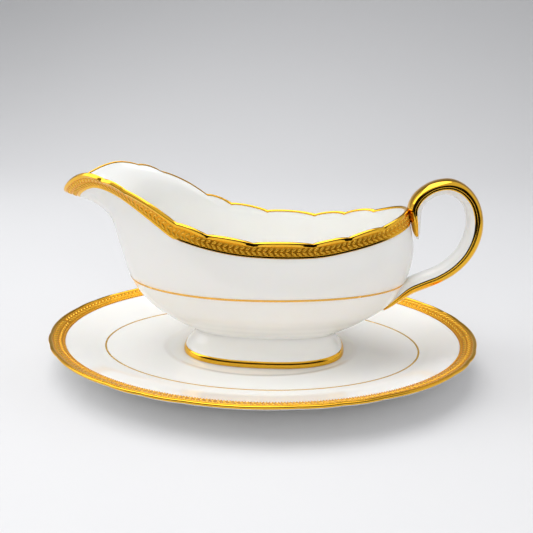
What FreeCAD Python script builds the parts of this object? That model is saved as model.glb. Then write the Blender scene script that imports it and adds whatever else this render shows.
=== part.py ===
import FreeCAD, Part
import math
import os

# Oval gravy boat on its own oval stand, in millimetres.
# +X points to the handle, -X to the spout, +Z is up, and the origin is the
# middle of the stand's foot ring, on the table.

V = FreeCAD.Vector
doc = FreeCAD.newDocument("gravy_boat")
sheet = doc.addObject("Spreadsheet::Sheet", "Dimensions")

STEPS = 144
ANGLES = [2 * math.pi * i / STEPS for i in range(STEPS)]
TOP = 8

sizes = {
    # boat
    "restHeight": 6.15,
    "footTop": 17.0,
    "wall": 2.2,
    "floorHeight": 20.2,
    "lobeOut": 0.6,
    "lobeUp": 1.0,
    "rollHeight": 1.1,
    "bandDepth": 5.4,
    "giltSkin": 0.2,
    "bellyLineWidth": 0.9,
    # foot
    "footLength": 81.7,
    "footBeam": 49.4,
    "footOffset": 1.95,
    "footWaistLength": 74.6,
    "footWaistBeam": 37.0,
    "footWaistHeight": 12.8,
    "footRingWidth": 5.0,
    "footHollow": 6.5,
    "footBandHeight": 3.1,
    # handle
    "handleWidth": 11.0,
    "giltWrap": 0.25,
    # stand
    "standLength": 212.4,
    "standBeam": 155.6,
    "standHeight": 17.1,
    "vergeLength": 160.8,
    "vergeBeam": 99.4,
    "vergeHeight": 8.2,
    "wellLength": 101.0,
    "wellBeam": 69.4,
    "wellDepth": 1.0,
    "wellFloor": 6.0,
    "standWall": 2.6,
    "standFootLength": 134.0,
    "standFootBeam": 85.0,
    "standFootWidth": 3.2,
    "standBand": 6.8,
    "standLobe": 0.4,
    "vergeLineWidth": 0.9,
    "vergeLineThick": 0.2,
}

# Cross sections of the boat from its foot to its rim. Each row holds: height,
# share of the way from the belly line up to the rim, reach to the spout,
# reach to the handle, half beam, place of the widest point, and how full the
# spout end and the handle end are (2 is an ellipse).
sections = {
    "heel": (17.0, 0.0, 33.8, 38.3, 15.8, 2.6, 2.4, 2.4),
    "tuck": (20.0, 0.0, 40.2, 44.8, 17.8, 2.5, 2.2, 2.2),
    "bilge": (25.0, 0.0, 47.9, 53.4, 24.2, 2.0, 2.05, 2.05),
    "swell": (34.0, 0.0, 57.6, 64.6, 34.4, 0.0, 2.0, 2.05),
    "belly": (45.6, 0.0, 65.2, 71.3, 38.2, -3.0, 1.95, 2.1),
    "waist": (45.6, 0.38, 69.6, 74.3, 37.8, -8.0, 1.92, 2.15),
    "neck": (45.6, 0.71, 73.6, 72.9, 36.6, -14.0, 1.85, 2.15),
    "flare": (45.6, 0.9, 83.0, 71.0, 36.0, -20.0, 1.75, 2.15),
    "rim": (45.6, 1.0, 95.7, 69.6, 35.8, -23.0, 1.67, 2.15),
}
fields = ["Height", "Rise", "Spout", "Tail", "Beam", "Widest", "Bow", "Stern"]

# Height of the rim (x, z) from the spout tip to the handle.
rimCurve = [
    (-96.0, 84.6), (-92.5, 88.5), (-88.0, 92.0), (-82.0, 95.2), (-75.8, 96.5), (-67.8, 95.0),
    (-55.5, 90.5), (-44.0, 84.7), (-31.9, 78.0), (-16.3, 73.0), (0.0, 70.3), (27.2, 69.5),
    (41.7, 71.5), (57.0, 74.8), (70.0, 79.0),
]


def fillSheet():
    row = 1
    for name, value in sizes.items():
        sheet.set("A%d" % row, name)
        sheet.set("B%d" % row, str(value))
        sheet.setAlias("B%d" % row, name)
        row += 1
    for name, values in sections.items():
        for field, value in zip(fields, values):
            sheet.set("A%d" % row, name + field)
            sheet.set("B%d" % row, str(value))
            sheet.setAlias("B%d" % row, name + field)
            row += 1
    for index, (x, z) in enumerate(rimCurve):
        for alias, value in (("rimAlong%d" % index, x), ("rimHigh%d" % index, z)):
            sheet.set("A%d" % row, alias)
            sheet.set("B%d" % row, str(value))
            sheet.setAlias("B%d" % row, alias)
            row += 1
    doc.recompute()


def size(name):
    return float(sheet.get(name))


def bind(obj, **links):
    for prop, expression in links.items():
        obj.setExpression(prop.replace("__", "."), expression)


fillSheet()
sectionTable = [[size(name + field) for field in fields] for name in sections]
rimTable = [(size("rimAlong%d" % i), size("rimHigh%d" % i)) for i in range(len(rimCurve))]

def smoothStep(value, low, high):
    u = min(1.0, max(0.0, (value - low) / (high - low)))
    return u * u * (3 - 2 * u)


def rimSlope(index):
    before = rimTable[max(0, index - 1)]
    after = rimTable[min(len(rimTable) - 1, index + 1)]
    return (after[1] - before[1]) / (after[0] - before[0])


def rimHeight(x):
    # smooth curve through the rim's points
    x = min(max(x, rimTable[0][0]), rimTable[-1][0])
    index = 0
    while index < len(rimTable) - 2 and x > rimTable[index + 1][0]:
        index += 1
    (x0, z0), (x1, z1) = rimTable[index], rimTable[index + 1]
    span = x1 - x0
    u = (x - x0) / span
    start = rimSlope(index) * span
    end = rimSlope(index + 1) * span
    return (z0 * (1 + 2 * u) * (1 - u) ** 2 + start * u * (1 - u) ** 2
            + z1 * u * u * (3 - 2 * u) + end * u * u * (u - 1))


# Angles of the rim's notches, from the handle end (0) to the spout tip (180).
boatNotches = [-30, 30, 45, 57.5, 75, 87.5, 97.5, 117.5, 127.5, 232.5]
standNotches = [-12.5, 12.5, 22.5, 32.5]


def lobe(turn, notches):
    # 0 at a notch, 1 in the middle of the lobe between two notches
    for low, high in zip(notches, notches[1:]):
        if low <= turn < high:
            return math.sin(math.pi * (turn - low) / (high - low)) ** 0.8
    return 0.0


def boatLobe(angle):
    # the two sides of the boat mirror each other
    turn = math.degrees(angle) % 360
    return lobe(min(turn, 360 - turn), boatNotches)


def standLobe(angle):
    # one long lobe and two short ones, eight times round
    turn = (math.degrees(angle) + 12.5) % 45 - 12.5
    return lobe(turn, standNotches)


def oval(angle, spout, tail, beam, widest, bow, stern):
    c = math.cos(angle)
    reach = tail - widest if c >= 0 else spout + widest
    full = stern if c >= 0 else bow
    side = max(0.0, 1 - abs(c) ** full) ** (1 / full)
    return widest + reach * c, math.copysign(beam * side, math.sin(angle))


def sectionAt(level):
    # a smooth curve through the table's rows
    i = min(int(level), TOP - 1)
    u = level - i
    b = sectionTable[i]
    c = sectionTable[i + 1]
    a = sectionTable[i - 1] if i > 0 else [2 * p - q for p, q in zip(b, c)]
    d = sectionTable[i + 2] if i + 2 <= TOP else [2 * q - p for p, q in zip(b, c)]
    out = []
    for p, q, r, w in zip(a, b, c, d):
        out.append(0.5 * (2 * q + (r - p) * u + (2 * p - 5 * q + 4 * r - w) * u * u
                          + (3 * q - p - 3 * r + w) * u ** 3))
    return out


rimSection = sectionTable[TOP]
rimLine = {}


def hull(level, angle, inset=0.0, lobes=1.0):
    # the boat's outer face, pulled in by inset
    height, rise, spout, tail, beam, widest, bow, stern = sectionAt(level)
    bump = lobes * boatLobe(angle) * max(0.0, level - TOP + 1) ** 2
    grow = size("lobeOut") * bump - inset
    x, y = oval(angle, spout + grow, tail + grow, beam + grow, widest, bow, stern)
    if angle not in rimLine:
        rimLine[angle] = rimHeight(oval(angle, *rimSection[2:])[0])
    z = height + rise * (rimLine[angle] - height) + size("lobeUp") * bump
    return V(x, y, z)


def outward(level, angle):
    # unit normal of the outer face
    low = max(0.0, level - 0.02)
    high = min(float(TOP), level + 0.02)
    up = hull(high, angle) - hull(low, angle)
    along = hull(level, angle + 0.01) - hull(level, angle - 0.01)
    return along.cross(up).normalize()


def wallPoint(level, angle, depth):
    # depth below the outer face; a negative depth stands out from it
    n = outward(level, angle)
    point = hull(level, angle, depth * math.hypot(n.x, n.y))
    return V(point.x, point.y, hull(level, angle).z - depth * n.z)


def bisect(angle, low, high, tooLow):
    for _ in range(24):
        mid = 0.5 * (low + high)
        if tooLow(mid, angle):
            low = mid
        else:
            high = mid
    return 0.5 * (low + high)


def levelAtHeight(angle, height):
    return bisect(angle, 2.0, 6.0, lambda level, a: hull(level, a).z < height)


rimPoints = [hull(TOP, math.radians(0.75 * k), lobes=0.0) for k in range(480)]


def levelBelowRim(angle, distance):
    # how far up the wall is within a distance of the rim, measured square to the rim
    def below(level, a):
        point = hull(level, a)
        return min(point.distanceToPoint(p) for p in rimPoints) > distance

    return bisect(angle, 4.5, TOP, below)


KNOTS = [i / STEPS for i in range(STEPS + 1)]
PATCHES = 12


def ringWire(points):
    curve = Part.BSplineCurve()
    curve.interpolate(Points=points, PeriodicFlag=True, Parameters=KNOTS)
    cuts = [k / PATCHES for k in range(PATCHES + 1)]
    return Part.Wire([curve.toShape(a, b) for a, b in zip(cuts, cuts[1:])])


def solidFrom(strips, closed=False):
    # each strip is a list of rings; a strip starts on the ring the last one ended on
    faces = []
    for strip in strips:
        wires = [ringWire(ring) for ring in strip]
        heights = [point.z for ring in strip for point in ring]
        if max(heights) - min(heights) < 1e-6:
            faces += Part.makeFace(wires, "Part::FaceMakerBullseye").Faces
        elif len(wires) == 2:
            faces += Part.makeRuledSurface(wires[0], wires[1]).Faces
        else:
            faces += Part.makeLoft(wires, False, False).Faces
    if not closed:
        faces.append(Part.Face(ringWire(strips[0][0])))
        faces.append(Part.Face(ringWire(strips[-1][-1])))
    shell = Part.makeShell(faces)
    shell.sewShape()
    solid = Part.makeSolid(shell)
    if solid.Volume < 0:
        solid.reverse()
    return solid


def feature(name, shape):
    obj = doc.addObject("Part::Feature", name)
    obj.Label = name
    obj.Shape = shape
    obj.Placement = FreeCAD.Placement()
    return obj


def ring(levels, depth=0.0):
    return [wallPoint(level, angle, depth) for level, angle in zip(levels, ANGLES)]


def ovalRing(length, beam, height, fullness=2.0, offset=0.0, lobes=0.0):
    points = []
    for angle in ANGLES:
        grow = lobes * standLobe(angle)
        x, y = oval(angle, length / 2 + grow, length / 2 + grow, beam / 2 + grow, 0.0,
                    fullness, fullness)
        points.append(V(x + offset, y, height))
    return points


bandLevels = [levelBelowRim(angle, size("bandDepth")) for angle in ANGLES]


def blended(share, low, high):
    return [a + (b - a) * share for a, b in zip(low, high)]


def level(value):
    return [value] * STEPS


def boatBowl():
    lower = [ring(level(k)) for k in (0, 0.5, 1, 2, 3, 4, 5)]
    lower[0] = [V(p.x, p.y, size("footTop")) for p in lower[0]]
    lower += [ring(blended(s, level(5), bandLevels)) for s in (0.33, 0.67, 1)]
    upper = [ring(blended(s, bandLevels, level(TOP))) for s in (0, 0.5, 1)]
    inner = [ring(blended(s, level(TOP), bandLevels), size("wall")) for s in (0, 0.5, 1)]
    inner += [ring(blended(s, bandLevels, level(5)), size("wall")) for s in (0.33, 0.67, 1)]
    bottom = [inner[-1]] + [ring(level(k), size("wall")) for k in (4, 3, 2, 1.2)]
    floor = [V(p.x * 0.86, p.y * 0.86, size("floorHeight")) for p in lower[0]]
    strips = [lower, upper, [upper[-1], inner[0]], inner, bottom, [bottom[-1], floor]]
    return feature("boat_bowl", solidFrom(strips))


def rimBand():
    skin = size("giltSkin")
    outer = [ring(blended(s, bandLevels, level(TOP)), -skin) for s in (0, 0.5, 1)]
    inner = [ring(blended(s, bandLevels, level(TOP))) for s in (1, 0.5, 0)]
    shape = solidFrom([outer, [outer[-1], inner[0]], inner, [inner[-1], outer[0]]], True)
    return feature("rim_gilt_band", shape)


def rollRings(outer, inner, height, steps=6):
    # half-round roll standing on the strip between two rings
    rings = []
    for k in range(steps + 1):
        turn = math.pi * k / steps
        points = []
        for a, b in zip(outer, inner):
            middle = (a + b) * 0.5
            across = (a - b) * 0.5
            up = V(0, 0, 1)
            up = (up - across * (up.dot(across) / across.dot(across))).normalize()
            points.append(middle + across * math.cos(turn) + up * (height * math.sin(turn)))
        rings.append(points)
    return rings


def rimRoll():
    outer = ring(level(TOP))
    inner = ring(level(TOP), size("wall"))
    rolled = rollRings(outer, inner, size("rollHeight"))
    return feature("rim_gilt_edge", solidFrom([rolled, [rolled[-1], rolled[0]]], True))


def bellyLine():
    half = size("bellyLineWidth") / 2
    middle = size("bellyHeight")
    low = [levelAtHeight(angle, middle - half) for angle in ANGLES]
    high = [levelAtHeight(angle, middle + half) for angle in ANGLES]
    skin = 0.6 * size("giltSkin")
    a = ring(low, -skin)
    b = ring(high, -skin)
    c = ring(high, 0.05)
    d = ring(low, 0.05)
    return feature("belly_gilt_line", solidFrom([[a, b], [b, c], [c, d], [d, a]], True))


def boatFoot():
    rest = size("restHeight")
    top = size("footTop")
    off = size("footOffset")
    length = size("footLength")
    beam = size("footBeam")
    waist = ovalRing(size("footWaistLength"), size("footWaistBeam"), size("footWaistHeight"),
                     2.45, 2.1)
    bottom = ovalRing(length, beam, rest, 2.5, off)
    foot = ovalRing(length - 1.2, beam - 1.2, rest + size("footBandHeight"), 2.5, off)
    heel = [V(p.x, p.y, top) for p in ring(level(0))]
    rib = 2 * size("footRingWidth")
    hollow = ovalRing(length - rib, beam - rib, rest, 2.5, off)
    roof = ovalRing(length - rib - 12, beam - rib - 14, rest + size("footHollow"), 2.5, off)
    shape = solidFrom([[roof, hollow], [hollow, bottom], [bottom, foot], [foot, waist, heel]])
    return feature("boat_foot", shape)


def footBand():
    rest = size("restHeight")
    off = size("footOffset")
    length = size("footLength")
    beam = size("footBeam")
    high = size("footBandHeight")
    low = ovalRing(length, beam, rest, 2.5, off)
    top = ovalRing(length - 1.2, beam - 1.2, rest + high, 2.5, off)
    round = []
    for k in range(5):
        u = k / 4
        bulge = 0.3 + 1.0 * math.sin(math.pi * (0.1 + 0.8 * u))
        round.append(ovalRing(length - 1.2 * u + bulge, beam - 1.2 * u + bulge,
                              rest + high * u, 2.5, off))
    shape = solidFrom([round, [round[-1], top], [top, low], [low, round[0]]], True)
    return feature("foot_gilt_band", shape)


# Middle line of the handle's strap (x, z) and its thickness there, from the
# spur on the end wall, over the loop, to the tail that runs onto the belly.
strap = [
    (76.2, 65.9, 1.2), (75.2, 69.6, 3.2), (74.6, 73.6, 4.4), (73.7, 77.6, 5.8),
    (73.8, 81.4, 6.6), (76.0, 85.6, 6.7), (80.4, 89.2, 6.7), (85.1, 90.8, 6.9),
    (89.8, 90.7, 7.2), (95.0, 88.0, 7.0), (99.3, 82.6, 6.9), (101.5, 75.0, 7.3),
    (101.1, 67.2, 7.6), (98.3, 59.6, 7.6), (93.4, 53.2, 7.5), (86.9, 48.3, 7.4),
    (80.0, 45.0, 7.6), (73.6, 41.7, 7.2), (68.2, 36.8, 5.4), (63.6, 31.6, 3.0),
    (61.0, 28.9, 1.2),
]


def strapFrame(index):
    x, z, thick = strap[index]
    before = strap[max(0, index - 1)]
    after = strap[min(len(strap) - 1, index + 1)]
    along = V(after[0] - before[0], 0, after[1] - before[1]).normalize()
    outwards = V(-along.z, 0, along.x)
    return V(x, 0, z), along, outwards, thick


def strapSection(name, index):
    # an ellipse across the strap: its long axis lies along Y
    centre, along, outwards, thick = strapFrame(index)
    wide = 0.30 + 0.70 * smoothStep(thick, 0.5, 6.0)
    section = doc.addObject("Part::Ellipse", "%s%02d" % (name, index))
    bind(section, MajorRadius="Dimensions.handleWidth / 2 * %g" % wide)
    section.MinorRadius = thick / 2
    turn = FreeCAD.Rotation(V(0, 1, 0), outwards, along, "XYZ")
    section.Placement = FreeCAD.Placement(centre, turn)
    return section


def strapLoft(name):
    loft = doc.addObject("Part::Loft", name)
    loft.Sections = [strapSection(name + "Section", i) for i in range(len(strap))]
    loft.Solid = True
    loft.Ruled = False
    return loft


def cutAway(name, base, tools):
    obj = base
    for k, tool in enumerate(tools):
        cut = doc.addObject("Part::Cut", "%s_cut%d" % (name, k) if k < len(tools) - 1 else name)
        cut.Base = obj
        cut.Tool = tool
        obj = cut
    obj.Label = name
    return obj


def boatHandle(boat):
    return cutAway("boat_handle", strapLoft("Strap"), boat)


def strapArc(index, grow, reach):
    # points over the outer side of the strap, from one edge round to the other
    centre, along, outwards, thick = strapFrame(index)
    wide = 0.30 + 0.70 * smoothStep(thick, 0.5, 6.0)
    a = size("handleWidth") / 2 * wide + grow
    b = thick / 2 + grow
    points = []
    for k in range(13):
        turn = math.radians(-reach + 2 * reach * k / 12)
        points.append(centre + V(0, a * math.sin(turn), 0) + outwards * (b * math.cos(turn)))
    return points


def handleGilding():
    # a thin skin of gold over the outer half of the strap
    wires = []
    for index in range(1, len(strap) - 1):
        over = strapArc(index, size("giltWrap"), 92)
        under = strapArc(index, 0.0, 92)[::-1]
        edges = []
        for points in (over, under):
            curve = Part.BSplineCurve()
            curve.interpolate(Points=points, Parameters=[k / 12 for k in range(13)])
            edges.append(curve.toShape())
        edges.insert(1, Part.makeLine(over[-1], under[0]))
        edges.append(Part.makeLine(under[-1], over[0]))
        wires.append(Part.Wire(edges))
    return feature("handle_gilding", Part.makeLoft(wires, True, False))


def standTop():
    lobes = size("standLobe")
    length = size("standLength")
    beam = size("standBeam")
    band = 2 * size("standBand")
    high = size("standHeight")
    verge = size("vergeHeight")
    rings = {}
    rings["edge"] = ovalRing(length, beam, high, lobes=lobes)
    rings["mid"] = ovalRing(length - band / 2, beam - band / 2, high - 1.25, lobes=lobes * 0.5)
    rings["band"] = ovalRing(length - band, beam - band, high - 2.6)
    rings["slope"] = ovalRing((length - band + size("vergeLength")) / 2,
                              (beam - band + size("vergeBeam")) / 2,
                              verge + 0.42 * (high - 2.6 - verge))
    rings["verge"] = ovalRing(size("vergeLength"), size("vergeBeam"), verge)
    rings["well"] = ovalRing(size("wellLength"), size("wellBeam"), size("wellFloor") + size("wellDepth"))
    rings["floor"] = ovalRing(size("wellLength") - 6, size("wellBeam") - 6, size("wellFloor"))
    return rings


def lowerEdge(edge):
    wall = size("standWall")
    return [V(p.x * 0.993, p.y * 0.993, p.z - 0.8 * wall) for p in edge]


def standPlate(top):
    wall = size("standWall")
    footLength = size("standFootLength")
    footBeam = size("standFootBeam")
    rib = 2 * size("standFootWidth")
    under = lowerEdge(top["edge"])
    belowSlope = [V(p.x, p.y, p.z - wall) for p in top["slope"]]
    belowVerge = [V(p.x, p.y, p.z - wall - 0.3) for p in top["verge"]]
    footOut = ovalRing(footLength, footBeam, size("wellFloor") - wall - 0.1)
    footLow = ovalRing(footLength - 1.5, footBeam - 1.5, 0)
    footIn = ovalRing(footLength - rib, footBeam - rib, 0)
    centre = ovalRing(footLength - rib - 1.5, footBeam - rib - 1.5, size("wellFloor") - wall - 0.4)
    shape = solidFrom([
        [top["floor"], top["well"]],
        [top["well"], top["verge"]],
        [top["verge"], top["slope"], top["band"]],
        [top["band"], top["mid"], top["edge"]],
        [top["edge"], under],
        [under, belowSlope, belowVerge],
        [belowVerge, footOut],
        [footOut, footLow],
        [footLow, footIn],
        [footIn, centre],
    ])
    return feature("stand_plate", shape)


def standBand(top):
    skin = size("giltSkin")
    low = [top["band"], top["mid"], top["edge"]]
    high = [[p + V(0, 0, skin) for p in points] for points in low]
    shape = solidFrom([low, [low[-1], high[-1]], high[::-1], [high[0], low[0]]], True)
    return feature("stand_gilt_band", shape)


def standRoll(top):
    edge = top["edge"]
    under = lowerEdge(edge)
    rings = []
    for k in range(7):
        turn = math.pi * k / 6
        points = []
        for a, b in zip(edge, under):
            flat = V(a.x / size("standLength"), a.y / size("standBeam"), 0).normalize()
            middle = (a + b) * 0.5
            reach = size("rollHeight") * math.sin(turn)
            points.append(middle + (a - b) * (0.5 * math.cos(turn)) + flat * reach)
        rings.append(points)
    return feature("stand_gilt_edge", solidFrom([rings, [rings[-1], rings[0]]], True))


def originPlane(body, role):
    for item in body.Origin.OriginFeatures:
        if item.Role == role:
            return item
    raise RuntimeError("no plane " + role)


def vergeLine():
    # thin oval line: two ellipses in one sketch, padded upwards
    body = doc.addObject("PartDesign::Body", "stand_gilt_line")
    body.Label = "stand_gilt_line"
    sketch = body.newObject("Sketcher::SketchObject", "VergeOvals")
    sketch.AttachmentSupport = [(originPlane(body, "XY_Plane"), "")]
    sketch.MapMode = "FlatFace"
    bind(sketch, AttachmentOffset__Base__z="Dimensions.vergeHeight - 0.04")
    for sign in (1, -1):
        grow = sign * size("vergeLineWidth") / 2
        a = size("vergeLength") / 2 + grow
        b = size("vergeBeam") / 2 + grow
        sketch.addGeometry(Part.Ellipse(V(a, 0, 0), V(0, b, 0), V(0, 0, 0)), False)
    pad = body.newObject("PartDesign::Pad", "VergePad")
    pad.Profile = sketch
    bind(pad, Length="Dimensions.vergeLineThick")
    return body


top = standTop()
boat = [boatBowl(), rimBand(), rimRoll()]
parts = [standPlate(top), standBand(top), standRoll(top), vergeLine()]
parts += boat
parts += [boatFoot(), bellyLine(), footBand(), boatHandle(boat), handleGilding()]
doc.recompute()

for obj in doc.Objects:
    if "Invalid" in obj.State or "Error" in obj.State:
        raise RuntimeError("failed: " + obj.Name)

os.makedirs("parts", exist_ok=True)
for part in parts:
    shape = part.Shape
    if shape.isNull() or not shape.isValid():
        raise RuntimeError("bad shape: " + part.Label)
    box = shape.BoundBox
    print("%-16s solids %d volume %9.1f  x %7.2f %7.2f  y %7.2f %7.2f  z %6.2f %6.2f" % (
        part.Label, len(shape.Solids), shape.Volume, box.XMin, box.XMax, box.YMin, box.YMax,
        box.ZMin, box.ZMax))
    shape.exportStep("parts/%s.step" % part.Label)
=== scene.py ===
import math

import bmesh
import bpy
from mathutils import Euler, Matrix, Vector


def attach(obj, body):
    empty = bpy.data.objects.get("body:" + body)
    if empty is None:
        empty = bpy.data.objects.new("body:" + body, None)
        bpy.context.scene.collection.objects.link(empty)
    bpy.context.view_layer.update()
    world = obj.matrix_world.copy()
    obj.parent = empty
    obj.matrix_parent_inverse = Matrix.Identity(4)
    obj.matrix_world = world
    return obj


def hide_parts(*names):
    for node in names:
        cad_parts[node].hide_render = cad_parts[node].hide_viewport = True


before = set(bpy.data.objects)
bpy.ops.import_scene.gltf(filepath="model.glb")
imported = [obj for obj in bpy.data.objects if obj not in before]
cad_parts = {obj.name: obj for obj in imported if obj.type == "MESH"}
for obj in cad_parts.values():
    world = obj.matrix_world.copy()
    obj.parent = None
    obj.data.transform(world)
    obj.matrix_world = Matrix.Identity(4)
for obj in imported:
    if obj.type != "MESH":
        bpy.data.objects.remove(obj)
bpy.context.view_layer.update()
mm = 0.001
weldDistance = 2e-6
levelStep = 0.02  # how far either side a slope on the hull is taken
angleStep = 0.01
lobeFullness = 0.8
print("frame loaded")

# the boat's form: one table of ovals from the sole of the foot up to the rim
boatForm = {
    # height, share of the way up to the rim, reach to spout, reach to handle,
    # half beam, widest at, fullness of the spout end, fullness of the handle end
    "ovals": [
        (6.15, 0, 38.7, 42.6, 24.5, 1.95, 2.5, 2.5),
        (9.6, 0, 38.0, 41.8, 23.7, 1.95, 2.5, 2.5),
        (12.8, 0, 35.2, 39.4, 19.0, 2.1, 2.45, 2.45),
        (17.0, 0, 33.8, 38.3, 15.8, 2.6, 2.4, 2.4),
        (20.0, 0, 40.2, 44.8, 17.8, 2.5, 2.2, 2.2),
        (25.0, 0, 47.9, 53.4, 24.2, 2.0, 2.05, 2.05),
        (34.0, 0, 57.6, 64.6, 34.4, 0.0, 2.0, 2.05),
        (45.6, 0, 65.2, 71.3, 38.2, -3.0, 1.95, 2.1),
        (45.6, 0.38, 69.6, 74.3, 37.8, -8.0, 1.92, 2.15),
        (45.6, 0.71, 73.6, 72.9, 36.6, -14.0, 1.85, 2.15),
        (45.6, 0.9, 83.0, 71.0, 36.0, -20.0, 1.75, 2.15),
        (45.6, 1.0, 95.7, 69.6, 35.8, -23.0, 1.67, 2.15),
    ],
    # height of the rim (x, z) from the spout tip to the handle
    "rim": [
        (-96.0, 84.6), (-92.5, 88.5), (-88.0, 92.0), (-82.0, 95.2), (-75.8, 96.5),
        (-67.8, 95.0), (-55.5, 90.5), (-44.0, 84.7), (-31.9, 78.0), (-16.3, 73.0),
        (0.0, 70.3), (27.2, 69.5), (41.7, 71.5), (57.0, 74.8), (70.0, 79.0),
    ],
    "notches": [-30, 30, 45, 57.5, 75, 87.5, 97.5, 117.5, 127.5, 232.5],
    "lobeOut": 0.6,
    "lobeUp": 1.0,
    "wall": 2.2,
    "lip": 1.35,
    "thinLevels": 2,
    "floor": 20.2,
    "around": 288,
    "bellyHeight": 45.6,
    "bellyLevels": (5.0, 9.0),
}
rimLevel = len(boatForm["ovals"]) - 1
heelLevel = 3


def smoothStep(value, low, high):
    u = min(1.0, max(0.0, (value - low) / (high - low)))
    return u * u * (3 - 2 * u)


def spline(a, b, c, d, u):
    # smooth curve from b to c, with a and d beyond them
    return 0.5 * (2 * b + (c - a) * u + (2 * a - 5 * b + 4 * c - d) * u * u
                  + (3 * b - a - 3 * c + d) * u ** 3)


def through(rows, place):
    # smooth curve through the rows of a table
    i = min(max(int(place), 0), len(rows) - 2)
    b, c = rows[i], rows[i + 1]
    a = rows[i - 1] if i > 0 else [2 * p - q for p, q in zip(b, c)]
    d = rows[i + 2] if i + 2 < len(rows) else [2 * q - p for p, q in zip(b, c)]
    return [spline(*four, place - i) for four in zip(a, b, c, d)]


def lobe(turn, notches):
    for low, high in zip(notches, notches[1:]):
        if low <= turn < high:
            return math.sin(math.pi * (turn - low) / (high - low)) ** lobeFullness
    return 0.0


def ovalPoint(angle, spout, tail, beam, widest, bow, stern):
    c = math.cos(angle)
    reach = tail - widest if c >= 0 else spout + widest
    full = stern if c >= 0 else bow
    side = max(0.0, 1 - abs(c) ** full) ** (1 / full)
    return widest + reach * c, math.copysign(beam * side, math.sin(angle))


def rimSlope(index):
    rim = boatForm["rim"]
    before, after = rim[max(0, index - 1)], rim[min(len(rim) - 1, index + 1)]
    return (after[1] - before[1]) / (after[0] - before[0])


def rimHeight(x):
    rim = boatForm["rim"]
    x = min(max(x, rim[0][0]), rim[-1][0])
    index = 0
    while index < len(rim) - 2 and x > rim[index + 1][0]:
        index += 1
    (x0, z0), (x1, z1) = rim[index], rim[index + 1]
    span = x1 - x0
    u = (x - x0) / span
    return (z0 * (1 + 2 * u) * (1 - u) ** 2 + rimSlope(index) * span * u * (1 - u) ** 2
            + z1 * u * u * (3 - 2 * u) + rimSlope(index + 1) * span * u * u * (u - 1))


def hull(level, angle, inset=0.0, lobes=1.0):
    # outer face of the boat in millimetres
    height, rise, spout, tail, beam, widest, bow, stern = through(boatForm["ovals"], level)
    turn = math.degrees(angle) % 360
    bump = lobes * lobe(min(turn, 360 - turn), boatForm["notches"])
    bump *= max(0.0, level - rimLevel + 1) ** 2
    grow = boatForm["lobeOut"] * bump - inset
    x, y = ovalPoint(angle, spout + grow, tail + grow, beam + grow, widest, bow, stern)
    top = rimHeight(ovalPoint(angle, *boatForm["ovals"][rimLevel][2:])[0])
    return Vector((x, y, height + rise * (top - height) + boatForm["lobeUp"] * bump))


def wallDepth(level):
    # the wall thins towards the lip
    thin = boatForm["wall"] - boatForm["lip"]
    return boatForm["wall"] - thin * smoothStep(level, rimLevel - boatForm["thinLevels"], rimLevel)


def wallPoint(level, angle, depth=0.0):
    # a point under the outer face, measured square to it
    low = max(0.0, level - levelStep)
    high = min(float(rimLevel), level + levelStep)
    up = hull(high, angle) - hull(low, angle)
    along = hull(level, angle + angleStep) - hull(level, angle - angleStep)
    normal = along.cross(up).normalized()
    point = hull(level, angle, depth * math.hypot(normal.x, normal.y))
    return Vector((point.x, point.y, hull(level, angle).z - depth * normal.z))


def levelAt(angle, height):
    # level of the outer face at a height on the belly
    low, high = boatForm["bellyLevels"]
    for _ in range(20):
        mid = 0.5 * (low + high)
        if hull(mid, angle).z < height:
            low = mid
        else:
            high = mid
    return 0.5 * (low + high)


def runningLength(ring):
    runs = [0.0]
    for here, ahead in zip(ring, ring[1:] + ring[:1]):
        runs.append(runs[-1] + (ahead - here).length)
    return runs


def spanAt(runs, run):
    # which step of a ring holds this run, and how far along the step it is
    low, high = 0, len(runs) - 1
    while high - low > 1:
        mid = (low + high) // 2
        if runs[mid] <= run:
            low = mid
        else:
            high = mid
    return low, (run - runs[low]) / (runs[low + 1] - runs[low])


def bareHull(level, angle):
    return hull(level, angle, lobes=0.0)


# run along the rim without its lobes, for the pitch of the etched leaves
rimSteps = 720
rimRing = [bareHull(rimLevel, 2 * math.pi * k / rimSteps) for k in range(rimSteps)]
rimRun = runningLength(rimRing)


def marchDown(angle, step, count):
    # walk down the wall square to the rim; gives (level, angle) after every step
    rimwards = bareHull(rimLevel, angle + angleStep) - bareHull(rimLevel, angle - angleStep)
    level, path = float(rimLevel), [(float(rimLevel), angle)]
    for _ in range(count):
        up = (bareHull(level, angle) - bareHull(level - levelStep, angle)) / levelStep
        along = bareHull(level, angle + angleStep) - bareHull(level, angle - angleStep)
        along /= 2 * angleStep
        down = rimwards.cross(along.cross(up)).normalized()
        if down.dot(up) > 0:
            down = -down
        uu, aa, ua = up.dot(up), along.dot(along), up.dot(along)
        du, da = down.dot(up), down.dot(along)
        det = uu * aa - ua * ua
        level += step * (du * aa - da * ua) / det
        angle += step * (da * uu - du * ua) / det
        path.append((level, angle))
    return path


bandStep = 0.5
bandRows = 16
bandWiden = 0.3  # the band is wider round the spout
widenFrom, widenTo = 15, 60
bandGrid = [marchDown(2 * math.pi * k / rimSteps, bandStep, bandRows) for k in range(rimSteps)]


def bandPoint(run, depth, lift):
    # a point on the rim band: run along the rim, depth below it, lift off the wall
    low, share = spanAt(rimRun, run % rimRun[-1])
    depth *= 1 + bandWiden * smoothStep(-rimRing[low].x, widenFrom, widenTo)
    row = min(int(depth / bandStep), bandRows - 1)
    down = depth / bandStep - row
    corners = []
    for column in (low, (low + 1) % rimSteps):
        (l0, a0), (l1, a1) = bandGrid[column][row], bandGrid[column][row + 1]
        corners.append((l0 + (l1 - l0) * down, a0 + (a1 - a0) * down))
    (l0, a0), (l1, a1) = corners
    if a1 < a0 - math.pi:
        a1 += 2 * math.pi
    return wallPoint(l0 + (l1 - l0) * share, a0 + (a1 - a0) * share, -lift)


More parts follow.
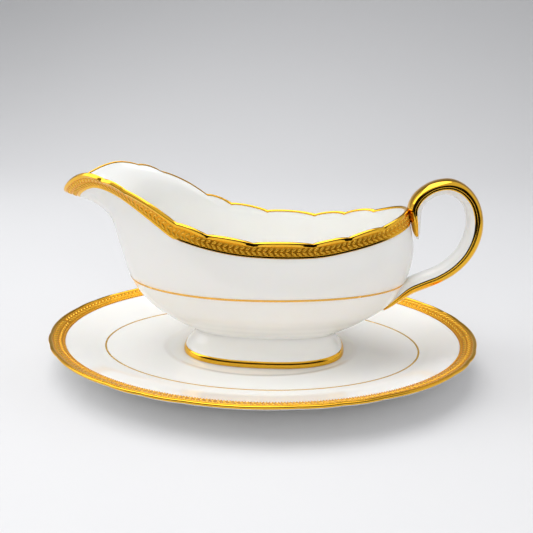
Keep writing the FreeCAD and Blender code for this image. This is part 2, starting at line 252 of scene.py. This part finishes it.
def newPiece(name, bm):
    bmesh.ops.recalc_face_normals(bm, faces=bm.faces)
    for face in bm.faces:
        face.smooth = True
    mesh = bpy.data.meshes.new(name)
    bm.to_mesh(mesh)
    bm.free()
    piece = bpy.data.objects.new(name, mesh)
    bpy.context.scene.collection.objects.link(piece)
    print(name, len(mesh.polygons), "faces")
    return piece


def sheetPiece(name, around, along, place, fillHoles=False):
    # a grid bent to shape: u runs round, v runs along the profile
    bm = bmesh.new()
    bmesh.ops.create_grid(bm, x_segments=around, y_segments=along, size=0.5)
    for vert in bm.verts:
        vert.co = place(vert.co.x + 0.5, vert.co.y + 0.5) * mm
    bmesh.ops.remove_doubles(bm, verts=bm.verts, dist=weldDistance)
    if fillHoles:
        edges = [edge for edge in bm.edges if edge.is_boundary]
        bmesh.ops.holes_fill(bm, edges=edges, sides=0)
    return newPiece(name, bm)


def finished(piece, body, nodes, material):
    piece.data.materials.append(material)
    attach(piece, body)
    if nodes:
        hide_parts(*nodes)
    return piece


def stops(v, marks):
    # which span of the profile v falls in, and how far along it
    for index in range(len(marks) - 1):
        if v <= marks[index + 1] or index == len(marks) - 2:
            return index, (v - marks[index]) / (marks[index + 1] - marks[index])


def newMaterial(name):
    material = bpy.data.materials.new(name)
    material.use_nodes = True
    nodes = material.node_tree.nodes
    return material, nodes, material.node_tree.links, nodes["Principled BSDF"]


def addNoise(nodes, links, scale, detail):
    coords = nodes.new("ShaderNodeTexCoord")
    noise = nodes.new("ShaderNodeTexNoise")
    noise.inputs["Scale"].default_value = scale
    noise.inputs["Detail"].default_value = detail
    links.new(coords.outputs["Object"], noise.inputs["Vector"])
    return noise.outputs["Fac"]


def addTone(nodes, links, noise, shader, base, shade):
    # base colour that drifts down to its shaded tone
    tone = nodes.new("ShaderNodeValToRGB")
    tone.color_ramp.elements[0].color = (*(c * k for c, k in zip(base, shade)), 1)
    tone.color_ramp.elements[1].color = base
    links.new(noise, tone.inputs["Fac"])
    links.new(tone.outputs["Color"], shader.inputs["Base Color"])


def addShine(nodes, links, noise, shader, low, high):
    shine = nodes.new("ShaderNodeMapRange")
    shine.inputs["To Min"].default_value = low
    shine.inputs["To Max"].default_value = high
    links.new(noise, shine.inputs["Value"])
    links.new(shine.outputs["Result"], shader.inputs["Roughness"])


def addBump(nodes, links, noise, shader, strength, distance):
    bump = nodes.new("ShaderNodeBump")
    bump.inputs["Strength"].default_value = strength
    bump.inputs["Distance"].default_value = distance
    links.new(noise, bump.inputs["Height"])
    links.new(bump.outputs["Normal"], shader.inputs["Normal"])


chinaLook = {
    "color": (0.94, 0.935, 0.91, 1),
    "shade": (0.985, 0.985, 0.975),
    "drift": 18,
    "roughness": 0.06,
    "ripple": 60,
    "waviness": 0.04,
    "rippleHeight": 0.0003,
    "subsurface": 0.15,
    "bleed": (0.004, 0.003, 0.002),
}


def boneChina():
    look = chinaLook
    material, nodes, links, shader = newMaterial("boneChina")
    shader.inputs["IOR"].default_value = 1.5
    shader.inputs["Subsurface Weight"].default_value = look["subsurface"]
    shader.inputs["Subsurface Radius"].default_value = look["bleed"]
    shader.inputs["Subsurface Scale"].default_value = 1.0
    # faint tone drift in the body, with the glaze a touch duller in places
    cloud = addNoise(nodes, links, look["drift"], 3)
    addTone(nodes, links, cloud, shader, look["color"], look["shade"])
    addShine(nodes, links, cloud, shader, look["roughness"] * 0.7, look["roughness"] * 1.5)
    # slow ripple of the glaze
    ripple = addNoise(nodes, links, look["ripple"], 1)
    addBump(nodes, links, ripple, shader, look["waviness"], look["rippleHeight"])
    return material


goldShade = (0.93, 0.88, 0.8)
goldTooth = 0.0001


def goldMaterial(name, look):
    # burnished or etched gold, depending on the look
    material, nodes, links, shader = newMaterial(name)
    shader.inputs["Metallic"].default_value = look["metal"]
    rub = addNoise(nodes, links, look["grain"], 4)
    addTone(nodes, links, rub, shader, look["color"], goldShade)
    addShine(nodes, links, rub, shader, look["roughness"] * 0.7, look["roughness"] * 1.4)
    addBump(nodes, links, rub, shader, look["tooth"], goldTooth)
    return material


goldLooks = {
    "burnished": {
        "color": (0.96, 0.54, 0.045, 1), "metal": 1.0, "roughness": 0.07,
        "grain": 220, "tooth": 0.04,
    },
    "etched": {
        "color": (0.84, 0.38, 0.012, 1), "metal": 0.8, "roughness": 0.3,
        "grain": 1400, "tooth": 0.3,
    },
    "leaf": {
        "color": (1.0, 0.57, 0.045, 1), "metal": 0.68, "roughness": 0.21,
        "grain": 500, "tooth": 0.1,
    },
    "line": {
        "color": (0.88, 0.55, 0.09, 1), "metal": 0.6, "roughness": 0.24,
        "grain": 160, "tooth": 0.04,
    },
}
china = boneChina()
gold = goldMaterial("burnishedGold", goldLooks["burnished"])
etched = goldMaterial("etchedGold", goldLooks["etched"])
leafGold = goldMaterial("leafGold", goldLooks["leaf"])
lineGold = goldMaterial("lineGold", goldLooks["line"])
print("materials made")


def rolled(outer, inner, turn, rise):
    # half-round roll standing on the strip between two points
    across = (outer - inner) * 0.5
    up = Vector((0, 0, 1))
    up = (up - across * (up.dot(across) / across.dot(across))).normalized()
    return (outer + inner) * 0.5 + across * math.cos(turn) + up * (rise * math.sin(turn))


bowlForm = {
    "spans": [0, 0.04, 0.5, 0.56, 0.94, 1],
    "rows": 100,
    "middle": 2.5,
    "lipRise": 0.3,
    "floorLevels": 1.2,
}


def bowlPlace(u, v):
    angle = 2 * math.pi * u
    span, t = stops(v, bowlForm["spans"])
    if span == 0:  # hidden bottom, inside the foot
        edge = wallPoint(heelLevel, angle)
        return Vector((bowlForm["middle"], 0, edge.z)).lerp(edge, t)
    if span == 1:
        return wallPoint(heelLevel + (rimLevel - heelLevel) * t, angle)
    if span == 2:
        inner = wallPoint(rimLevel, angle, wallDepth(rimLevel))
        return rolled(wallPoint(rimLevel, angle), inner, math.pi * t, bowlForm["lipRise"])
    low = heelLevel + bowlForm["floorLevels"]
    level = rimLevel + (low - rimLevel) * (t if span == 3 else 1)
    inner = wallPoint(level, angle, wallDepth(level))
    if span == 3:
        return inner
    centre = Vector((bowlForm["middle"], 0, boatForm["floor"]))
    flat = centre.lerp(Vector((inner.x, inner.y, centre.z)), 1 - t)
    return Vector((flat.x, flat.y, inner.z + (centre.z - inner.z) * (1 - (1 - t) ** 2)))


bowl = sheetPiece("boatBowl", boatForm["around"], bowlForm["rows"], bowlPlace)
finished(bowl, "boat", ["boat_bowl"], china)

footForm = {
    "rest": 6.15,
    "middle": 1.95,
    "full": 2.5,
    "ringInside": (33.8, 37.6, 19.6),
    "roof": (28.0, 31.8, 12.4),
    "hollow": 6.2,
    "goldHeight": 3.1,
    "goldOut": 0.25,
    "goldStart": 0.45,
    "goldTaper": 0.5,
    "goldIn": 0.6,
    "goldRound": 0.7,
    "goldLevels": 0.9,
}


def footOval(reaches, angle):
    return ovalPoint(angle, *reaches, footForm["middle"], footForm["full"], footForm["full"])


def footPlace(u, v):
    angle = 2 * math.pi * u
    span, t = stops(v, [0, 0.2, 0.4, 0.5, 1])
    rest = footForm["rest"]
    top = rest + footForm["hollow"]
    roof = Vector((*footOval(footForm["roof"], angle), top))
    inside = Vector((*footOval(footForm["ringInside"], angle), rest))
    if span == 0:
        return Vector((footForm["middle"], 0, top)).lerp(roof, t)
    if span == 1:
        return roof.lerp(inside, t)
    if span == 2:
        return inside.lerp(hull(0, angle), t)
    return hull(heelLevel * t, angle)


foot = sheetPiece("boatFoot", boatForm["around"], 60, footPlace, fillHoles=True)
finished(foot, "boat", ["boat_foot"], china)


def footBandPlace(u, v):
    # rounded gold roll round the bottom of the foot
    angle = 2 * math.pi * u
    turn = 2 * math.pi * v
    place = 0.5 + 0.5 * math.sin(turn)
    lean = math.cos(turn)
    out = footForm["goldStart"] - footForm["goldTaper"] * place * place
    out += footForm["goldOut"] * max(0.0, lean) ** footForm["goldRound"]
    out -= footForm["goldIn"] * max(0.0, -lean)
    row = through(boatForm["ovals"], footForm["goldLevels"] * place)
    spout, tail, beam, widest, bow, stern = row[2:]
    x, y = ovalPoint(angle, spout + out, tail + out, beam + out, widest, bow, stern)
    return Vector((x, y, footForm["rest"] + footForm["goldHeight"] * place))


footBand = sheetPiece("footBand", boatForm["around"], 24, footBandPlace)
finished(footBand, "boat", ["foot_gilt_band"], gold)

goldTrim = {
    "bandDepth": 5.4,
    "bandSkin": 0.2,
    "rollUp": 0.82,
    "lineWidth": 1.05,
    "lineSkin": 0.12,
    "plainStrip": 1.0,
    "rollSide": 0.42,
    "rollDrop": 1.15,
    "stripLift": 0.12,
    "stripTuck": 0.1,
    "skinSpans": [0, 0.7, 1.0],
    "skinEdge": 0.02,
    "skinSoft": 12,
    "edgeShare": 0.14,
    "tuck": 0.1,
    "lineTuck": 0.12,
    "lineEdge": 0.017,
}


def skinLift(t, skin):
    # height of a thin skin whose edges are softened
    edge = min(t, 1 - t) * goldTrim["skinSoft"] + goldTrim["skinEdge"]
    return skin * math.sqrt(min(1.0, edge))


def bandSkin(top, bottom, skin):
    # a closed thin skin on the wall between two depths below the rim
    def place(u, v):
        run = u * rimRun[-1]
        span, t = stops(v, goldTrim["skinSpans"])
        if span == 0:
            return bandPoint(run, bottom + (top - bottom) * t, skinLift(t, skin))
        edge = goldTrim["edgeShare"] * skin
        back = edge - (edge + goldTrim["tuck"]) * math.sin(math.pi * t) ** 0.5
        return bandPoint(run, top + (bottom - top) * t, back)

    return place


bandAround = 360
bandPlace = bandSkin(0.0, goldTrim["bandDepth"], goldTrim["bandSkin"])
band = sheetPiece("rimBand", bandAround, 24, bandPlace)
finished(band, "boat", ["rim_gilt_band"], etched)
low, skin = goldTrim["bandDepth"], goldTrim["bandSkin"] + goldTrim["stripLift"]
stripPlace = bandSkin(low - goldTrim["plainStrip"], low + goldTrim["stripTuck"], skin)
plainStrip = sheetPiece("rimPlainStrip", bandAround, 14, stripPlace)
finished(plainStrip, "boat", [], gold)


def rollPlace(u, v):
    # gold over the lip: rounded on top, with a side that hangs down the wall
    angle = 2 * math.pi * u
    outer = wallPoint(rimLevel, angle)
    inner = wallPoint(rimLevel, angle, wallDepth(rimLevel))
    away = (outer - inner).normalized()
    along = hull(rimLevel, angle + angleStep) - hull(rimLevel, angle - angleStep)
    down = away.cross(along).normalized()
    if down.z > 0:
        down = -down
    top, side, drop = goldTrim["rollUp"], goldTrim["rollSide"], goldTrim["rollDrop"]
    middle = (outer + inner) * 0.5
    rise = Vector((0, 0, top))
    loop = [
        inner - away * 0.1 + down * 0.3, inner - away * 0.12 + rise * 0.35,
        middle + rise, outer + away * side * 0.55 + rise * 0.65,
        outer + away * side + down * -0.15, outer + away * side + down * (0.5 * drop),
        outer + away * side * 0.8 + down * drop,
        outer - away * 0.2 + down * drop, middle + down * 0.5,
    ]
    place = (v % 1) * len(loop)
    first = int(place) % len(loop)
    four = (loop[(first + k) % len(loop)] for k in (-1, 0, 1, 2))
    return spline(*four, place - int(place))


roll = sheetPiece("rimRoll", boatForm["around"], 27, rollPlace)
finished(roll, "boat", ["rim_gilt_edge"], gold)


def bellyPlace(u, v):
    # thin skin that follows the belly between two heights
    angle = 2 * math.pi * u
    half = goldTrim["lineWidth"] / 2
    low, high = (levelAt(angle, boatForm["bellyHeight"] + side * half) for side in (-1, 1))
    span, t = stops(v, goldTrim["skinSpans"])
    if span == 0:
        return wallPoint(low + (high - low) * t, angle, -skinLift(t, goldTrim["lineSkin"]))
    back = goldTrim["lineTuck"] * math.sin(math.pi * t) ** 0.5 - goldTrim["lineEdge"]
    return wallPoint(high + (low - high) * t, angle, back)


belly = sheetPiece("bellyLine", boatForm["around"], 12, bellyPlace)
finished(belly, "boat", ["belly_gilt_line"], lineGold)
print("boat body done")

# laurel etched into the bands: raised leaves in two rows, and a row of dots on the stand
laurel = {
    "pitch": 2.45,
    "halfWidth": 0.95,
    "lean": 1.75,
    "rise": 0.38,
    "steps": (6, 4),
    "rimRows": [(2.65, 0.95), (2.75, 4.45)],
    "standRows": [(3.7, 1.5), (3.8, 5.7)],
    "standDots": (6.1, 6.65),
    "dotPitch": 1.3,
    "dotHalf": 0.36,
    "stem": 0.08,
    "swell": 0.9,
    "thin": 0.05,
    "rimSink": 0.08,
    "standLift": 0.14,
}


def addLeaf(bm, surface, run, direction, root, tip, width, lean):
    # a domed leaf from the root depth to the tip depth, leaning along the band
    long, wide = laurel["steps"]
    rows = []
    for i in range(long + 1):
        s = i / long
        swell = math.sin(math.pi * (laurel["stem"] + laurel["swell"] * s))
        body = max(laurel["thin"], swell) ** 0.5
        row = []
        for j in range(wide + 1):
            w = 2 * j / wide - 1
            along = run + direction * lean * s + w * width * body
            dome = body * math.sqrt(max(0.0, 1 - w * w)) if 0 < i < long else 0.0
            row.append(bm.verts.new(surface(along, root + (tip - root) * s, dome) * mm))
        rows.append(row)
    for i in range(long):
        for j in range(wide):
            bm.faces.new((rows[i][j], rows[i][j + 1], rows[i + 1][j + 1], rows[i + 1][j]))


def addLeafRows(bm, surface, whole, rows):
    # leaves all round, leaning opposite ways on the two sides
    count = round(whole / laurel["pitch"])
    for k in range(count):
        run = whole * (k + 0.5) / count
        direction = -1 if run < whole / 2 else 1
        for root, tip in rows:
            addLeaf(bm, surface, run, direction, root, tip, laurel["halfWidth"], laurel["lean"])


def closeLeaves(bm):
    edges = [edge for edge in bm.edges if edge.is_boundary]
    bmesh.ops.holes_fill(bm, edges=edges, sides=0)


def rimLaurel():
    bm = bmesh.new()
    base = goldTrim["bandSkin"] - laurel["rimSink"]

    def surface(run, depth, dome):
        return bandPoint(run, depth, base + laurel["rise"] * dome)

    addLeafRows(bm, surface, rimRun[-1], laurel["rimRows"])
    closeLeaves(bm)
    return newPiece("rimLaurel", bm)


finished(rimLaurel(), "boat", [], leafGold)

handleForm = {
    # x, z and thickness along the middle of the strap
    "line": [
        (76.2, 65.9, 1.2), (75.2, 69.6, 3.2), (74.6, 73.6, 4.4), (73.7, 77.6, 5.8),
        (73.8, 81.4, 6.6), (76.0, 85.6, 6.7), (80.4, 89.2, 6.7), (85.1, 90.8, 6.9),
        (89.8, 90.7, 7.2), (95.0, 88.0, 7.0), (99.3, 82.6, 6.9), (101.5, 75.0, 7.3),
        (101.1, 67.2, 7.6), (98.3, 59.6, 7.6), (93.4, 53.2, 7.5), (86.9, 48.3, 7.4),
        (80.0, 45.0, 7.6), (73.6, 41.7, 7.2), (68.2, 36.8, 5.4), (63.6, 31.6, 3.0),
        (61.0, 28.9, 1.2),
    ],
    "width": 11.0,
    "beadShare": 0.46,
    "ribShare": 0.8,
    "alongRows": 160,
    "aroundRows": 48,
    "capRows": 0.012,
    "skin": 0.22,
    "slopeStep": 0.05,
    "endWidth": 0.3,
    "widens": (0.5, 6.0),
    "beadRound": 0.85,
    "ribRound": 0.6,
    "ribSide": 0.75,
    "ribTurn": 0.35,
    "goldFrom": 0.02,
    "goldTo": 0.985,
    "goldReach": 97,
    "goldUnder": -0.15,
}


def strapFrame(s):
    rows = handleForm["line"]
    place = s * (len(rows) - 1)
    x, z, thick = through(rows, place)
    step = handleForm["slopeStep"]
    ahead = through(rows, min(place + step, len(rows) - 1))
    behind = through(rows, max(place - step, 0))
    along = Vector((ahead[0] - behind[0], 0, ahead[1] - behind[1])).normalized()
    return Vector((x, 0, z)), Vector((-along.z, 0, along.x)), thick


def strapPoint(s, turn, skin=0.0):
    # turn 0 is the middle of the outer face; the bead is wider than the rib
    centre, outwards, thick = strapFrame(s)
    end = handleForm["endWidth"]
    wide = handleForm["width"] / 2 * (end + (1 - end) * smoothStep(thick, *handleForm["widens"]))
    c, d = math.cos(turn), math.sin(turn)
    bead = handleForm["beadShare"]
    split = thick * (0.5 - bead)
    if c >= 0:
        out = split + (thick * bead + skin) * c ** handleForm["beadRound"]
        side = (wide + skin) * d
    else:
        out = split - (thick * (1 - bead)) * (-c) ** handleForm["ribRound"]
        narrow = 1 - (1 - handleForm["ribShare"]) * smoothStep(-c, 0.0, handleForm["ribTurn"])
        side = wide * narrow * math.copysign(abs(d) ** handleForm["ribSide"], d)
    return centre + outwards * out + Vector((0, side, 0))


def strapPlace(u, v):
    cap = handleForm["capRows"]
    if cap <= v <= 1 - cap:
        return strapPoint((v - cap) / (1 - 2 * cap), 2 * math.pi * u)
    end = 0 if v < cap else 1
    t = v / cap if v < cap else (1 - v) / cap
    return strapFrame(end)[0].lerp(strapPoint(end, 2 * math.pi * u), math.sqrt(max(0.0, t)))


strap = sheetPiece("boatHandle", handleForm["aroundRows"], handleForm["alongRows"], strapPlace)
finished(strap, "boat", ["boat_handle"], china)


def strapGoldPlace(u, v):
    # closed skin over the bead: outside face, then back underneath
    s = min(handleForm["goldTo"], max(handleForm["goldFrom"], v))
    reach = math.radians(handleForm["goldReach"])
    span, t = stops(u, [0, 0.5, 1.0])
    turn = -reach + 2 * reach * t if span == 0 else reach - 2 * reach * t
    return strapPoint(s, turn, handleForm["skin"] if span == 0 else handleForm["goldUnder"])


strapGold = sheetPiece("handleGilding", 60, handleForm["alongRows"], strapGoldPlace,
                       fillHoles=True)
finished(strapGold, "boat", ["handle_gilding"], gold)
print("handle done")

standForm = {
    "notches": [-12.5, 12.5, 22.5, 32.5],
    "lobe": 0.4,
    "around": 432,
    # half length, half beam, height, share of the lobes: top face from the middle out
    "top": [
        (0.5, 0.5, 6.0, 0), (20, 15, 6.0, 0), (40, 25, 6.0, 0), (46.5, 30.8, 6.03, 0),
        (48.6, 32.8, 6.5, 0), (50.5, 34.7, 7.0, 0), (54, 37.2, 7.12, 0), (66, 42.8, 7.5, 0),
        (80.4, 49.7, 8.2, 0), (86.5, 57.0, 9.8, 0), (93.0, 64.3, 12.1, 0), (99.4, 71.0, 14.5, 0.1),
        (102.8, 74.4, 15.85, 0.5), (106.2, 77.8, 17.1, 1),
    ],
    "under": [
        (105.6, 77.2, 15.0, 1), (100, 71.4, 12.3, 0.3), (92.7, 64.4, 9.2, 0), (81, 51.5, 5.2, 0),
        (72, 46.5, 4.2, 0), (68.2, 43.8, 3.4, 0), (66.8, 42.3, 2.0, 0), (66.3, 41.8, 0.3, 0),
        (65.9, 41.4, 0.0, 0), (64.2, 39.7, 0.0, 0), (63.8, 39.3, 0.4, 0), (63.2, 38.7, 2.2, 0),
        (61.5, 37.0, 3.0, 0), (40, 24, 3.0, 0), (0.5, 0.5, 3.0, 0),
    ],
    "bandRows": (11, 13),
    "bandWidth": 6.8,
    "verge": (80.4, 49.7, 8.24),
    "lineHalf": 0.45,
    "lobeFrom": 12.5,
    "lobeEvery": 45,
    "edgeAxes": (106, 78),
    "edgeSwell": 0.75,
    "rollLow": 0.78,
    "rollSwell": (0.85, 0.3),
    "rollGrow": 1.1,
    "bandSkin": 0.2,
    "bandEdge": 0.02,
    "bandSoft": 14,
    "bandTuck": 0.1,
    "borderHalf": 0.6,
    "borderLift": 0.14,
    "borderRise": (0.3, 0.1),
    "lineRise": (0.1, 0.06),
    "lineTilt": 0.12,
}
edgeSteps = 1440


def standLobe(angle):
    start = standForm["lobeFrom"]
    turn = (math.degrees(angle) + start) % standForm["lobeEvery"] - start
    return lobe(turn, standForm["notches"])


def standPoint(rows, place, angle, lift=0.0):
    a, b, z, share = through(rows, place)
    grow = standForm["lobe"] * share * standLobe(angle)
    return Vector(((a + grow) * math.cos(angle), (b + grow) * math.sin(angle), z + lift))


def plateEdge(angle, turn, swell, low=1.0):
    # rounded edge joining the top face and the underside
    top = standPoint(standForm["top"], len(standForm["top"]) - 1, angle)
    under = top.lerp(standPoint(standForm["under"], 0, angle), low)
    long, wide = standForm["edgeAxes"]
    flat = Vector((top.x / long ** 2, top.y / wide ** 2, 0)).normalized()
    middle = (top + under) * 0.5
    return middle + (top - under) * (0.5 * math.cos(turn)) + flat * (swell * math.sin(turn))


def platePlace(u, v):
    angle = 2 * math.pi * u
    span, t = stops(v, [0, 0.48, 0.54, 1])
    if span == 0:
        return standPoint(standForm["top"], t * (len(standForm["top"]) - 1), angle)
    if span == 1:
        return plateEdge(angle, math.pi * t, standForm["edgeSwell"])
    point = standPoint(standForm["under"], t * (len(standForm["under"]) - 1), angle)
    point.z = max(0.0, point.z)
    return point


plate = sheetPiece("standPlate", standForm["around"], 125, platePlace, fillHoles=True)
finished(plate, "stand", ["stand_plate"], china)


def standBandPlace(u, v):
    angle = 2 * math.pi * u
    span, t = stops(v, [0, 0.75, 1])
    low, high = standForm["bandRows"]
    edge = standForm["bandEdge"]
    if span == 0:
        soft = min(1.0, min(t, 1 - t) * standForm["bandSoft"])
        lift = standForm["bandSkin"] * math.sqrt(soft) + edge
        return standPoint(standForm["top"], low + (high - low) * t, angle, lift)
    drop = edge - standForm["bandTuck"] * math.sin(math.pi * t)
    return standPoint(standForm["top"], high - (high - low) * t, angle, drop)


standBand = sheetPiece("standBand", standForm["around"], 28, standBandPlace)
finished(standBand, "stand", ["stand_gilt_band"], etched)


def standRollPlace(u, v):
    # roll over the upper part of the edge
    angle = 2 * math.pi * u
    turn = 2 * math.pi * v
    swell = standForm["rollSwell"][0 if math.sin(turn) > 0 else 1]
    low = standForm["rollLow"]
    centre = plateEdge(angle, math.pi / 2, 0.0, low)
    return centre + (plateEdge(angle, turn, swell, low) - centre) * standForm["rollGrow"]


standRoll = sheetPiece("standRoll", standForm["around"], 20, standRollPlace)
finished(standRoll, "stand", ["stand_gilt_edge"], gold)


def standBorderPlace(u, v):
    # burnished border between the roll and the leaves
    angle = 2 * math.pi * u
    turn = 2 * math.pi * v
    half = standForm["borderHalf"]
    inwards = (half - half * math.cos(turn)) / (standForm["bandWidth"] / 2)
    rise = standForm["borderRise"][0 if math.sin(turn) > 0 else 1]
    lift = standForm["borderLift"] + rise * math.sin(turn)
    return standPoint(standForm["top"], standForm["bandRows"][1] - inwards, angle, lift)


standBorder = sheetPiece("standBorder", standForm["around"], 12, standBorderPlace)
finished(standBorder, "stand", [], gold)

edgeRow = standForm["bandRows"][1]
edgeRing = [standPoint(standForm["top"], edgeRow, 2 * math.pi * k / edgeSteps)
            for k in range(edgeSteps)]
edgeRun = runningLength(edgeRing)


def edgeAngle(run):
    low, share = spanAt(edgeRun, run)
    return math.radians((low + share) * 360 / edgeSteps)


def standLaurel():
    bm = bmesh.new()
    whole = edgeRun[-1]
    step = standForm["bandWidth"] / 2

    def surface(run, depth, dome):
        lift = laurel["standLift"] + laurel["rise"] * dome
        return standPoint(standForm["top"], edgeRow - depth / step, edgeAngle(run % whole), lift)

    addLeafRows(bm, surface, whole, laurel["standRows"])
    dots = round(whole / laurel["dotPitch"])
    root, tip = laurel["standDots"]
    for k in range(dots):
        addLeaf(bm, surface, whole * k / dots, 1, root, tip, laurel["dotHalf"], 0.0)
    closeLeaves(bm)
    return newPiece("standLaurel", bm)


finished(standLaurel(), "stand", [], leafGold)


def vergePlace(u, v):
    angle = 2 * math.pi * u
    turn = 2 * math.pi * v
    a, b, z = standForm["verge"]
    shift = standForm["lineHalf"] * math.cos(turn)
    rise = standForm["lineRise"][0 if math.sin(turn) > 0 else 1]
    z += rise * math.sin(turn) + standForm["lineTilt"] * shift
    return Vector(((a + shift) * math.cos(angle), (b + shift) * math.sin(angle), z))


verge = sheetPiece("vergeLine", standForm["around"], 10, vergePlace)
finished(verge, "stand", ["stand_gilt_line"], lineGold)
print("stand done")

studio = {
    "floorColor": (0.735, 0.735, 0.745, 1),
    "floorShade": (0.99, 0.99, 0.99),
    "floorSize": 3,
    "floorFront": -0.25,
    "floorDepth": 0.7,
    "sweepFrom": 0.55,
    "sweepCurve": 0.55,
    "worldStrength": 0.74,
    "worldBright": (0.93, 0.94, 0.96, 1),
    "worldDark": (0.012, 0.011, 0.01, 1),
    "darkSide": (-0.2, -0.5),
    "darkTop": (0.7, 0.55),
    "lightAim": (0, 0, 0.05),
}
lightSet = [
    # name, power, place, width, height, seen in reflections
    ("topBox", 6.8, (-0.2, 0.12, 1.0), 1.1, 0.9, True),
    ("sideBox", 2.5, (-1.0, -0.1, 0.7), 0.7, 0.7, True),
    ("frontFill", 4.5, (0.1, -1.0, 0.42), 1.0, 0.6, False),
]
cameraSet = {
    "lens": 40.1,
    "place": (0.0300, -0.2809, 0.1379),
    "tilt": 72.62,
    "turn": 5.42,
    "clipStart": 0.01,
}


def addFloor():
    # paper sweep that ends just in front of the stand
    bm = bmesh.new()
    bmesh.ops.create_grid(bm, x_segments=8, y_segments=80, size=studio["floorSize"])
    for vert in bm.verts:
        across = (vert.co.y + studio["floorSize"]) * studio["floorDepth"]
        vert.co.y = studio["floorFront"] + across
        back = max(0.0, vert.co.y - studio["sweepFrom"])
        vert.co.z = studio["sweepCurve"] * back * back
    for face in bm.faces:
        face.smooth = True
    mesh = bpy.data.meshes.new("sweep")
    bm.to_mesh(mesh)
    bm.free()
    floor = bpy.data.objects.new("sweep", mesh)
    bpy.context.scene.collection.objects.link(floor)
    material, nodes, links, shader = newMaterial("palePaper")
    shader.inputs["Roughness"].default_value = 0.7
    shader.inputs["Specular IOR Level"].default_value = 0.2
    grain = addNoise(nodes, links, 6, 2)
    addTone(nodes, links, grain, shader, studio["floorColor"], studio["floorShade"])
    mesh.materials.append(material)


def addLight(name, power, spot, width, height, shine):
    lamp = bpy.data.lights.new(name, "AREA")
    lamp.shape = "RECTANGLE"
    lamp.size = width
    lamp.size_y = height
    lamp.energy = power
    light = bpy.data.objects.new(name, lamp)
    light.location = spot
    aim = Vector(studio["lightAim"]) - Vector(spot)
    light.rotation_euler = aim.to_track_quat("-Z", "Y").to_euler()
    light.visible_glossy = shine
    bpy.context.scene.collection.objects.link(light)


def addSide(nodes, links, source, start, end):
    # 0 up to the start, 1 from the end on
    side = nodes.new("ShaderNodeMapRange")
    side.interpolation_type = "SMOOTHSTEP"
    side.inputs["From Min"].default_value = start
    side.inputs["From Max"].default_value = end
    links.new(source, side.inputs["Value"])
    return side.outputs["Result"]


def addWorld():
    # bright room with a dark side behind the camera, below the light tent's mouth
    world = bpy.data.worlds.new("studio")
    bpy.context.scene.world = world
    world.use_nodes = True
    nodes, links = world.node_tree.nodes, world.node_tree.links
    background = nodes["Background"]
    coords = nodes.new("ShaderNodeTexCoord")
    split = nodes.new("ShaderNodeSeparateXYZ")
    links.new(coords.outputs["Generated"], split.inputs["Vector"])
    mask = nodes.new("ShaderNodeMath")
    mask.operation = "MULTIPLY"
    links.new(addSide(nodes, links, split.outputs["Y"], *studio["darkSide"]), mask.inputs[0])
    links.new(addSide(nodes, links, split.outputs["Z"], *studio["darkTop"]), mask.inputs[1])
    mix = nodes.new("ShaderNodeMix")
    mix.data_type = "RGBA"
    mix.inputs["A"].default_value = studio["worldBright"]
    mix.inputs["B"].default_value = studio["worldDark"]
    links.new(mask.outputs["Value"], mix.inputs["Factor"])
    links.new(mix.outputs["Result"], background.inputs["Color"])
    background.inputs["Strength"].default_value = studio["worldStrength"]


addFloor()
addWorld()
for row in lightSet:
    addLight(*row)

camera = bpy.data.objects.new("camera", bpy.data.cameras.new("camera"))
camera.data.lens = cameraSet["lens"]
camera.data.sensor_width = 36
camera.location = cameraSet["place"]
camera.rotation_euler = Euler((math.radians(cameraSet["tilt"]), 0, math.radians(cameraSet["turn"])))
camera.data.clip_start = cameraSet["clipStart"]
bpy.context.scene.collection.objects.link(camera)
bpy.context.scene.camera = camera
bpy.context.scene.view_settings.view_transform = "Standard"
print("studio set")
